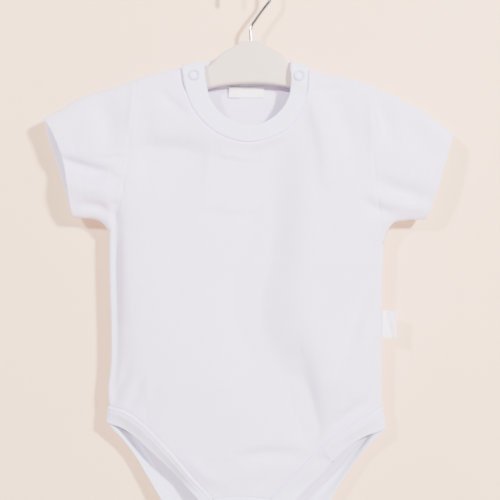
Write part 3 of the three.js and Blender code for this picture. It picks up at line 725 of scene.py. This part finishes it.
def cut_neck():
    seam, edge = along(NECK_SEAM["front"], NECK_SHARES), along(NECK_EDGE["front"], NECK_SHARES)
    length = run_of(curve_points(NECK_SEAM["front"]))[-1]
    from_end = np.minimum(NECK_SHARES, 1 - NECK_SHARES) * length
    lift = LAP_LIFT * (1 - smoothstep(from_end, LAP_LENGTH + 1.5, LAP_RAMP))[None]
    out, into = rib_profile(widths(seam, edge), from_end)
    places = place("front", strip_flat(seam, edge, crowded(BAND_STEPS)))
    cut("neck_band_front", places, 1, out=out + lift, into=into - lift)

    under = NECK_SHARES[(NECK_SHARES > 0) & (NECK_SHARES * length <= LAP_LENGTH)]
    tabs = []
    for shares in (under[::-1], 1 - under):
        tab_seam, tab_edge = along(NECK_SEAM["front"], shares), along(NECK_EDGE["front"], shares)
        tabs.append((tab_seam, tab_edge, place("front", strip_flat(tab_seam, tab_edge, crowded(BAND_STEPS)))))
    seam, edge = along(NECK_SEAM["back"], NECK_SHARES), along(NECK_EDGE["back"], NECK_SHARES)
    behind = place("back", strip_flat(seam, edge, crowded(BAND_STEPS)))
    places = np.concatenate([tabs[0][2], behind, tabs[1][2]], axis=1)
    width = np.concatenate([widths(*tabs[0][:2]), widths(seam, edge), widths(*tabs[1][:2])], axis=1)
    out, into = rib_profile(width)
    from_lap = np.minimum(NECK_SHARES, 1 - NECK_SHARES) * 30
    shown = np.concatenate([0 * under, np.clip(from_lap, 0, 1), 0 * under])
    lower = (RIB_PROUD + 0.25) * (1 - shown)[None]
    cut("neck_band_back", places, -1, out=out - lower, into=into + lower)


def run_of_leg(table, side, face, tail_x):
    leg = along(table[side, face], LEG_SHARES)
    t = evenly(PLACKET_STEPS)[1:, None]
    return np.vstack([leg, leg[-1] + t * (np.array([tail_x, PLACKET_END[face]]) - leg[-1])])


def cut_binding(side, turn):
    parts = []
    for face in FACES:
        seam = run_of_leg(LEG_SEAM, side, face, PLACKET_SEAM[side])
        edge = run_of_leg(LEG_EDGE, side, face, PLACKET_EDGE[side])
        parts.append((place(face, strip_flat(seam, edge, crowded(BAND_STEPS))), widths(seam, edge)))
    (front, front_width), (back, back_width) = parts
    places = np.concatenate([front[:, ::-1], back[:, 1:]], axis=1)
    width = np.concatenate([front_width[:, ::-1], back_width[:, 1:]], axis=1)
    run = run_of(places[BAND_STEPS])
    from_end = np.minimum(run, run[-1] - run)
    out, into = rib_profile(width, from_end)
    from_seam = crowded(BAND_STEPS)[:, None] * width
    out = out + 0.5 * np.exp(-(((from_seam - 1.6) / 0.9) ** 2)) - 0.3 * np.exp(-(((from_seam - 3.2) / 0.7) ** 2))
    rolled = BINDING_ROLL * np.minimum(np.abs(places[..., 1]), 7) * smoothstep(from_seam, 2, width)
    rolled = rolled * smoothstep(from_end, *ROLL_STARTS)
    out, into = out - rolled, into + rolled
    cut("leg_binding_" + side, places, turn, out=out, into=into, from_seam=from_seam)


def cut_placket(face, turn):
    top = along(CROTCH_EDGE[face], evenly(CROTCH_STEPS))
    ends = [PLACKET_SEAM[side] for side in SIDES]
    end = np.stack([np.linspace(*ends, CROTCH_STEPS + 1), np.full(CROTCH_STEPS + 1, PLACKET_END[face])], axis=-1)
    flat = strip_flat(top, end, evenly(PLACKET_STEPS))
    width = widths(top, end)
    t = evenly(PLACKET_STEPS)[:, None]
    share = rounded((1 - t) * width)
    across = np.minimum(evenly(CROTCH_STEPS), 1 - evenly(CROTCH_STEPS)) * 40
    out = RIB_PROUD - (RIB_PROUD + SEAM_SINK) * (1 - rounded(np.minimum(t * width, across[None]), 1.3))
    into = np.full(out.shape, RIB - RIB_PROUD)
    middle, half = (out - into) / 2, (out + into) / 2 * share
    places = place(face, flat)
    cut("crotch_placket_" + face, places, turn, False, middle + half, half - middle, from_edge=(1 - t) * width)


cut_panels()
cut_sleeve("left", -1)
cut_sleeve("right", 1)
cut_neck()
cut_binding("left", 1)
cut_binding("right", -1)
cut_placket("front", -1)
cut_placket("back", 1)
share_normals()


# Materials

def material(name, colour, roughness, metallic=0.0, **sockets):
    made = bpy.data.materials.new(name)
    made.use_nodes = True
    shader = made.node_tree.nodes["Principled BSDF"]
    shader.inputs["Base Color"].default_value = (*colour, 1)
    shader.inputs["Roughness"].default_value = roughness
    shader.inputs["Metallic"].default_value = metallic
    for socket, value in sockets.items():
        shader.inputs[socket.replace("_", " ")].default_value = value
    return made


def node(made, kind, inputs=None, **settings):
    """A new node. Its inputs take another node's output, or a plain value."""
    tree = made.node_tree
    fresh = tree.nodes.new(kind)
    for setting, value in settings.items():
        setattr(fresh, setting, value)
    for key, value in (inputs or {}).items():
        if isinstance(value, bpy.types.NodeSocket):
            tree.links.new(value, fresh.inputs[key])
        else:
            fresh.inputs[key].default_value = value
    return fresh


def math_node(made, operation, *values):
    return node(made, "ShaderNodeMath", dict(enumerate(values)), operation=operation).outputs[0]


def shader_link(made, socket, value):
    made.node_tree.links.new(value, made.node_tree.nodes["Principled BSDF"].inputs[socket])


def bump(made, height, distance, strength=1.0, normal=None):
    """distance is in millimetres for a height of 1."""
    inputs = {"Strength": strength, "Distance": distance * MM, "Height": height}
    if normal is not None:
        inputs["Normal"] = normal
    return node(made, "ShaderNodeBump", inputs).outputs["Normal"]


def speckled(made, light, dark, scale, source):
    """A colour that drifts between two close ones."""
    noise = node(made, "ShaderNodeTexNoise", {"Vector": source, "Scale": scale, "Detail": 3.0})
    ramp = node(made, "ShaderNodeValToRGB", {"Fac": noise.outputs["Fac"]})
    ramp.color_ramp.elements[0].position = 0.35
    ramp.color_ramp.elements[0].color = (*dark, 1)
    ramp.color_ramp.elements[1].position = 0.7
    ramp.color_ramp.elements[1].color = (*light, 1)
    shader_link(made, "Base Color", ramp.outputs["Color"])


def jersey_look():
    """Plain knit: columns of small V stitches, with a slight fuzz."""
    made = material("jersey", (0.8, 0.78, 0.83), 0.92, Sheen_Weight=0.2, Sheen_Roughness=0.6)
    spot = node(made, "ShaderNodeAttribute", attribute_name="cloth")
    parts = node(made, "ShaderNodeSeparateXYZ", {0: spot.outputs["Vector"]})
    wale = math_node(made, "MULTIPLY", parts.outputs["X"], math.pi / KNIT_WALE)
    across = math_node(made, "ABSOLUTE", math_node(made, "SINE", wale))
    course = math_node(made, "MULTIPLY", parts.outputs["Y"], 2 * math.pi / KNIT_COURSE)
    slanted = math_node(made, "ADD", course, math_node(made, "MULTIPLY", across, 2.4))
    loops = math_node(made, "MULTIPLY", math_node(made, "SINE", slanted), 0.3)
    knit = math_node(made, "ADD", across, loops)
    fuzz = node(made, "ShaderNodeTexNoise", {"Vector": spot.outputs["Vector"], "Scale": 1.1, "Detail": 4.0})
    rough = bump(made, fuzz.outputs["Fac"], 0.25, 0.5)
    shader_link(made, "Normal", bump(made, knit, 0.09, 0.6, rough))
    speckled(made, (0.78, 0.70, 0.92), (0.75, 0.67, 0.89), 0.08, spot.outputs["Vector"])
    return made


def rib_look():
    """Rib knit: raised wales across the band."""
    made = material("rib", (0.82, 0.81, 0.855), 0.9, Sheen_Weight=0.2, Sheen_Roughness=0.6)
    spot = node(made, "ShaderNodeAttribute", attribute_name="cloth")
    parts = node(made, "ShaderNodeSeparateXYZ", {0: spot.outputs["Vector"]})
    wale = math_node(made, "MULTIPLY", parts.outputs["X"], math.pi / RIB_WALE)
    ribs = math_node(made, "ABSOLUTE", math_node(made, "SINE", wale))
    course = math_node(made, "SINE", math_node(made, "MULTIPLY", parts.outputs["Y"], 2 * math.pi / KNIT_COURSE))
    knit = math_node(made, "ADD", ribs, math_node(made, "MULTIPLY", course, 0.15))
    fuzz = node(made, "ShaderNodeTexNoise", {"Vector": spot.outputs["Vector"], "Scale": 1.1, "Detail": 4.0})
    rough = bump(made, fuzz.outputs["Fac"], 0.2, 0.5)
    shader_link(made, "Normal", bump(made, knit, 0.16, 0.7, rough))
    speckled(made, (0.74, 0.74, 0.96), (0.71, 0.71, 0.93), 0.08, spot.outputs["Vector"])
    return made


def label_look():
    """A close satin ribbon."""
    made = material("label", (0.9, 0.88, 0.9), 0.55, Sheen_Weight=0.1)
    spot = node(made, "ShaderNodeAttribute", attribute_name="cloth")
    parts = node(made, "ShaderNodeSeparateXYZ", {0: spot.outputs["Vector"]})
    warp = math_node(made, "SINE", math_node(made, "MULTIPLY", parts.outputs["X"], 2 * math.pi / 0.35))
    weft = math_node(made, "SINE", math_node(made, "MULTIPLY", parts.outputs["Y"], 2 * math.pi / 0.35))
    weave = math_node(made, "MULTIPLY", warp, weft)
    shader_link(made, "Normal", bump(made, weave, 0.04, 0.5))
    speckled(made, (0.94, 0.92, 0.95), (0.91, 0.89, 0.92), 0.3, spot.outputs["Vector"])
    return made


def moulded_look(name, light, dark, roughness, grain, **sockets):
    """A smooth plastic or paint, with a faint orange peel and slightly uneven gloss."""
    made = material(name, light, roughness, **sockets)
    spot = node(made, "ShaderNodeTexCoord").outputs["Object"]
    peel = node(made, "ShaderNodeTexNoise", {"Vector": spot, "Scale": grain, "Detail": 2.0})
    wear = node(made, "ShaderNodeTexNoise", {"Vector": spot, "Scale": grain / 9, "Detail": 4.0})
    gloss = node(made, "ShaderNodeMapRange", {"Value": wear.outputs["Fac"], "To Min": roughness - 0.07, "To Max": roughness + 0.1})
    shader_link(made, "Roughness", gloss.outputs[0])
    shader_link(made, "Normal", bump(made, peel.outputs["Fac"], 0.08, 0.35))
    speckled(made, light, dark, grain / 20, spot)
    return made


def chrome_look():
    made = material("chrome", (0.8, 0.8, 0.82), 0.12, 1.0)
    spot = node(made, "ShaderNodeTexCoord").outputs["Object"]
    wear = node(made, "ShaderNodeTexNoise", {"Vector": spot, "Scale": 260.0, "Detail": 4.0})
    gloss = node(made, "ShaderNodeMapRange", {"Value": wear.outputs["Fac"], "To Min": 0.07, "To Max": 0.2})
    shader_link(made, "Roughness", gloss.outputs[0])
    speckled(made, (0.82, 0.82, 0.84), (0.72, 0.72, 0.75), 90.0, spot)
    return made


def thread_look():
    made = material("thread", (0.86, 0.85, 0.88), 0.7, Sheen_Weight=0.2)
    spot = node(made, "ShaderNodeTexCoord").outputs["Object"]
    twist = node(made, "ShaderNodeTexNoise", {"Vector": spot, "Scale": 2500.0, "Detail": 1.0})
    shader_link(made, "Normal", bump(made, twist.outputs["Fac"], 0.05, 0.4))
    speckled(made, (0.87, 0.86, 0.89), (0.82, 0.81, 0.85), 400.0, spot)
    return made


JERSEY_LOOK = jersey_look()
RIB_LOOK = rib_look()
LABEL_LOOK = label_look()
THREAD_LOOK = thread_look()
SNAP_LOOK = moulded_look("snap", (0.58, 0.55, 0.75), (0.55, 0.52, 0.72), 0.32, 900.0, Coat_Weight=0.3)
HANGER_LOOK = moulded_look("hanger", (0.64, 0.52, 0.44), (0.62, 0.50, 0.42), 0.42, 700.0)
CHROME_LOOK = chrome_look()


# The garment's pieces


def stitches(name, slot, lines):
    """Short threads along lines of (places, outward normals), each a slim closed mesh bedded in the cloth."""
    points, faces = [], []
    length = np.array([-1.0, -0.72, 0.0, 0.72, 1.0]) * STITCH_LENGTH / 2
    girth = np.array([0.35, 0.9, 1.0, 0.9, 0.35]) * STITCH_WIDTH / 2
    raised = np.array([-0.18, 0.0, 0.06, 0.0, -0.18])
    angles = np.arange(STITCH_SIDES) * 2 * math.pi / STITCH_SIDES
    for places, normals in lines:
        run = run_of(places)
        count = int(run[-1] / STITCH_PITCH)
        middles = (np.arange(count) + 0.5) * run[-1] / count
        for middle in middles:
            at = at_run(places, middle + length)
            out = at_run_of(normals, run, middle + length)
            ahead = at[-1] - at[0]
            ahead /= np.linalg.norm(ahead)
            across = np.cross(out, ahead)
            across /= np.linalg.norm(across, axis=1, keepdims=True)
            first = len(points) * STITCH_SIDES
            for k in range(len(length)):
                ring = (
                    at[k] + out[k] * raised[k]
                    + girth[k] * (np.cos(angles)[:, None] * across[k] + 0.8 * np.sin(angles)[:, None] * out[k])
                )
                points.append(ring)
            for k in range(len(length) - 1):
                for a in range(STITCH_SIDES):
                    b = (a + 1) % STITCH_SIDES
                    low, high = first + k * STITCH_SIDES, first + (k + 1) * STITCH_SIDES
                    faces.append((low + a, low + b, high + b, high + a))
            faces.append(tuple(first + a for a in reversed(range(STITCH_SIDES))))
            faces.append(tuple(first + 4 * STITCH_SIDES + a for a in range(STITCH_SIDES)))
    return link(name, mesh_from(name, points, faces), THREAD_LOOK, slot)


def at_run_of(values, run, wanted):
    """The directions at the wanted lengths along a line whose lengths are run."""
    found = np.stack([np.interp(wanted, run, values[:, k]) for k in range(3)], axis=-1)
    return found / np.linalg.norm(found, axis=1, keepdims=True)


def line_on(name, field, value, columns=slice(None)):
    """The line on a piece's outer face where a field that rises or falls down each column has a value."""
    piece = cuts[name]
    face = outer_face(name)
    field = np.broadcast_to(field, face.shape[:2])
    places, normals = [], []
    for i in range(face.shape[1])[columns]:
        order = np.argsort(field[:, i])
        both = np.concatenate([face[:, i], piece["normals"][:, i]], axis=1)[order]
        found = [np.interp(value, field[order, i], both[:, k]) for k in range(6)]
        places.append(found[:3])
        normals.append(found[3:])
    return np.array(places), np.array(normals)


def sleeve_threads(side):
    name = "sleeve_" + side
    places, normals = line_on(name, cuts[name]["from_cuff"], HEM_WIDTH)
    places, normals = (np.concatenate([line, line[:1]]) for line in (places, normals))
    return stitches(name + "_stitches", "jersey", [(places, normals)])


def binding_threads(side):
    name = "leg_binding_" + side
    lines = [line_on(name, cuts[name]["from_seam"], inset) for inset in BINDING_ROWS]
    return stitches(name + "_stitches", "rib", lines)


def placket_threads(face):
    name = "crotch_placket_" + face
    lines = [line_on(name, cuts[name]["from_edge"], inset, slice(1, -1)) for inset in (2.0,)]
    return stitches(name + "_stitches", "rib", lines)


def sew_garment():
    sew("front_panel", JERSEY_LOOK, "jersey")
    sew("back_panel", JERSEY_LOOK, "jersey")
    for side in SIDES:
        sew("sleeve_" + side, JERSEY_LOOK, "jersey", [sleeve_threads(side)])
        sew("leg_binding_" + side, RIB_LOOK, "rib", [binding_threads(side)])
    sew("neck_band_front", RIB_LOOK, "rib")
    sew("neck_band_back", RIB_LOOK, "rib")
    for face in FACES:
        sew("crotch_placket_" + face, RIB_LOOK, "rib", [placket_threads(face)])


def surface_at(face, x, z, step=3.0):
    """The place on the garment's outer face at x, z, and the outward direction there."""
    grid = np.array([[x, z], [x - step, z], [x + step, z], [x, z - step], [x, z + step]])
    at, left, right, below, above = place(face, grid)
    normal = np.cross(right - left, above - below)
    normal /= np.linalg.norm(normal)
    return at, -normal if face == "back" else normal


def revolved(profile, at, normal, sides):
    """Points and faces of a closed ring: a loop of (radius, height) turned round a direction."""
    first = np.cross(normal, (0, 0, 1))
    first /= np.linalg.norm(first)
    second = np.cross(normal, first)
    angles = np.arange(sides) * 2 * math.pi / sides
    points = [
        at + normal * height + radius * (math.cos(a) * first + math.sin(a) * second)
        for radius, height in profile
        for a in angles
    ]
    count = len(profile)
    faces = []
    for k in range(count):
        low, high = k * sides, (k + 1) % count * sides
        for a in range(sides):
            b = (a + 1) % sides
            faces.append((low + a, low + b, high + b, high + a))
    return points, faces


def snap(name, x, z, stand):
    half, top = (SNAP_OUTER - SNAP_INNER) / 2, SNAP_HEIGHT
    middle = SNAP_INNER + half
    profile = [(middle + half * math.cos(a), top * math.sin(a) ** 0.7) for a in np.linspace(0, math.pi, 13)]
    profile = [(r, max(h, 0.0)) for r, h in profile]
    profile += [(SNAP_INNER, -SNAP_BEDDED), (SNAP_OUTER, -SNAP_BEDDED)]
    at, normal = surface_at("front", x, z, SNAP_OUTER)
    points, faces = revolved(profile, at + normal * (stand + 0.1), normal, 40)
    link(name + "_ring", mesh_from(name, points, faces), SNAP_LOOK, "snap", name)


def ribbon(name, places, thick, node_name):
    """A thin label from a grid of places on its middle."""
    across, down = np.gradient(places, axis=1), np.gradient(places, axis=0)
    normals = np.cross(across, down)
    normals /= np.linalg.norm(normals, axis=-1, keepdims=True)
    layers = np.stack([places + normals * thick / 2, places - normals * thick / 2])
    mesh = mesh_from(name, layers, shell_faces(*places.shape[:2], 1, False))
    cloth_map(mesh, places)
    made = link(name, mesh, LABEL_LOOK, "label", node_name)


def bend(length, radius, steps=10):
    """A folded ribbon's section: out along one ply, round the fold and back, as (along, across)."""
    straight = np.linspace(0, length - radius, 14)
    turn = np.linspace(-math.pi / 2, math.pi / 2, steps + 1)[1:-1]
    out = [(s, -radius) for s in straight]
    round_fold = [(length - radius + radius * math.cos(a), radius * math.sin(a)) for a in turn]
    return np.array(out + round_fold + [(s, radius) for s in straight[::-1]])


def neck_label():
    """A ribbon folded at its lower edge, that hangs from the back's neck seam."""
    size = NECK_LABEL
    section = bend(size["top"] - size["bottom"], 0.32)
    rows = []
    for x in np.linspace(size["left"], size["right"], 43):
        z = size["top"] - section[:, 0]
        skin = place("back", np.stack([np.full(z.shape, x), z], axis=-1))
        skin[:, 1] -= JERSEY + 0.55 - section[:, 1] + 0.8 * (1 - smoothstep(x, *NECK_LABEL_STEP))
        rows.append(skin)
    places = np.stack(rows, axis=1)
    ribbon("neck_label_ribbon", places, 0.3, "neck_label")


def side_label():
    """A ribbon folded at its outer end, with a crease across it, sewn into the side seam."""
    size = SIDE_LABEL
    section = bend(size["right"] - size["left"], 0.55)
    rows = []
    for v in np.linspace(0, 1, 31):
        u = section[:, 0] / section[:, 0].max()
        crease = 0.5 * np.exp(-(((u - 0.25 - 0.5 * v) / 0.13) ** 2)) - 0.35 * np.exp(-(((u - 0.5 - 0.5 * v) / 0.16) ** 2))
        lean = 0.8 * u * u * (2 * v - 1) - 3.8 * u * u + crease
        x = size["left"] + section[:, 0] - 0.25 * np.sin(math.pi * v) * u
        z = size["top"] + v * (size["bottom"] - size["top"]) - 0.5 * u
        rows.append(np.stack([x, section[:, 1] + lean, z], axis=-1))
    ribbon("side_label_ribbon", np.stack(rows), 0.3, "side_label")


def hanger():
    """The moulded body: its outline drawn in round a quarter circle towards each face."""
    half = along(HANGER_HALF, evenly(HANGER_POINTS))
    outline = np.vstack([half, (half[1:-1] * (-1, 1))[::-1]])
    ahead = np.roll(outline, -1, axis=0) - np.roll(outline, 1, axis=0)
    outward = np.stack([-ahead[:, 1], ahead[:, 0]], axis=-1)
    outward /= np.linalg.norm(outward, axis=1, keepdims=True)
    collar = smoothstep(np.abs(outline[:, 0]), 9.5, 18) + smoothstep(-outline[:, 1], 62, 75)
    radius = 0.6 + (HANGER_ROUND - 0.6) * np.clip(collar, 0, 1)
    rings = []
    for a in np.linspace(-math.pi / 2, math.pi / 2, 13):
        inset = radius * (1 - math.cos(a))
        flat = outline - outward * inset[:, None]
        y = (HANGER_THICK / 2 - radius) * np.sign(a) + radius * math.sin(a)
        rings.append(np.stack([flat[:, 0], y, flat[:, 1]], axis=-1))
    count = len(outline)
    faces = []
    for k in range(len(rings) - 1):
        for i in range(count):
            j = (i + 1) % count
            faces.append((k * count + i, k * count + j, (k + 1) * count + j, (k + 1) * count + i))
    faces.append(tuple(reversed(range(count))))
    last = (len(rings) - 1) * count
    faces.append(tuple(range(last, last + count)))
    mesh = mesh_from("hanger_moulding", rings, faces)
    link("hanger_moulding", mesh, HANGER_LOOK, "hanger", "hanger_body")


def hook():
    centre = HOOK_WIRE - HOOK_CIRCLE
    angles = np.radians(np.linspace(*HOOK_ARC, 24))
    arc = np.stack([HOOK_CIRCLE * np.cos(angles), centre + HOOK_CIRCLE * np.sin(angles)], axis=-1)
    close = curve_points(np.vstack([HOOK_SHANK, arc]), 8)
    route = at_run(close, np.linspace(0, run_of(close)[-1], HOOK_STEPS))
    ahead = np.gradient(route, axis=0)
    ahead /= np.linalg.norm(ahead, axis=1, keepdims=True)
    beside = np.stack([ahead[:, 1], 0 * ahead[:, 0], -ahead[:, 0]], axis=-1)
    middle = np.stack([route[:, 0], 0 * route[:, 0], route[:, 1]], axis=-1)
    from_tip = run_of(route)[-1] - run_of(route)
    radius = HOOK_WIRE * np.sqrt(np.maximum(1 - np.maximum(1 - from_tip / HOOK_WIRE, 0) ** 2, 0.01))
    turns = np.arange(HOOK_SIDES) * 2 * math.pi / HOOK_SIDES
    points = (
        middle[:, None]
        + radius[:, None, None] * (np.cos(turns)[None, :, None] * beside[:, None] + np.sin(turns)[None, :, None] * np.array([0, 1, 0]))
    )
    faces = []
    for k in range(HOOK_STEPS - 1):
        for a in range(HOOK_SIDES):
            b = (a + 1) % HOOK_SIDES
            low, high = k * HOOK_SIDES, (k + 1) * HOOK_SIDES
            faces.append((low + a, low + b, high + b, high + a))
    faces.append(tuple(reversed(range(HOOK_SIDES))))
    faces.append(tuple((HOOK_STEPS - 1) * HOOK_SIDES + a for a in range(HOOK_SIDES)))
    link("hook_wire", mesh_from("hook_wire", points, faces), CHROME_LOOK, "hook", "hanger_hook")


sew_garment()
for side, (x, z) in SHOULDER_SNAPS.items():
    snap("shoulder_snap_" + side, x, z, RIB_PROUD + LAP_LIFT + 0.15)
for name, x in CROTCH_SNAPS.items():
    snap("crotch_snap_" + name, x, CROTCH_SNAP_Z, RIB_PROUD)
neck_label()
side_label()
hanger()
hook()


# Stage and light

def stage_look(name, light, dark):
    """Matt paint with a faint roller texture, seen only from its front."""
    made = material(name, light, 0.9)
    tree = made.node_tree
    spot = node(made, "ShaderNodeTexCoord").outputs["Object"]
    roller = node(made, "ShaderNodeTexNoise", {"Vector": spot, "Scale": 420.0, "Detail": 3.0})
    shader_link(made, "Normal", bump(made, roller.outputs["Fac"], 0.12, 0.4))
    speckled(made, light, dark, 9.0, spot)
    clear = node(made, "ShaderNodeBsdfTransparent")
    behind = node(made, "ShaderNodeNewGeometry").outputs["Backfacing"]
    paint = tree.nodes["Principled BSDF"].outputs["BSDF"]
    shown = node(made, "ShaderNodeMixShader", {0: behind, 1: paint, 2: clear.outputs["BSDF"]})
    tree.links.new(shown.outputs["Shader"], tree.nodes["Material Output"].inputs["Surface"])
    return made


def make_stage():
    wall_paint = stage_look("wall_paint", (0.93, 0.66, 0.42), (0.915, 0.645, 0.405))
    floor_paint = stage_look("floor_paint", (0.5, 0.47, 0.45), (0.48, 0.45, 0.43))
    for name, look, spot, tilt in (
        ("backdrop", wall_paint, (0, WALL_BEHIND * MM, 0), (math.pi / 2, 0, 0)),
        ("floor", floor_paint, (0, 0, FLOOR_BELOW * MM), (0, 0, 0)),
    ):
        bpy.ops.mesh.primitive_plane_add(size=6.0, location=spot, rotation=tilt)
        plane = bpy.context.object
        plane.name = name
        plane.data.materials.append(look)
        plane.visible_shadow = False


def area_light(name, azimuth, elevation, distance, size, power, colour):
    """A round lamp aimed at the garment, at an angle to the right of its front and above it."""
    data = bpy.data.lights.new(name, "AREA")
    data.shape = "DISK"
    data.size = size
    data.energy = power
    data.color = colour
    light = bpy.data.objects.new(name, data)
    a, e = math.radians(azimuth), math.radians(elevation)
    back = Vector((math.sin(a) * math.cos(e), -math.cos(a) * math.cos(e), math.sin(e)))
    light.location = Vector((VIEW_MIDDLE[0] * MM, 0, VIEW_MIDDLE[1] * MM)) + back * distance
    light.rotation_euler = back.to_track_quat("Z", "Y").to_euler()
    bpy.context.scene.collection.objects.link(light)


make_stage()
for lamp in LAMPS:
    area_light(*lamp)
world = bpy.data.worlds.new("world")
bpy.context.scene.world = world
world.use_nodes = True
world.node_tree.nodes["Background"].inputs["Color"].default_value = (*SKY_COLOUR, 1)
world.node_tree.nodes["Background"].inputs["Strength"].default_value = SKY
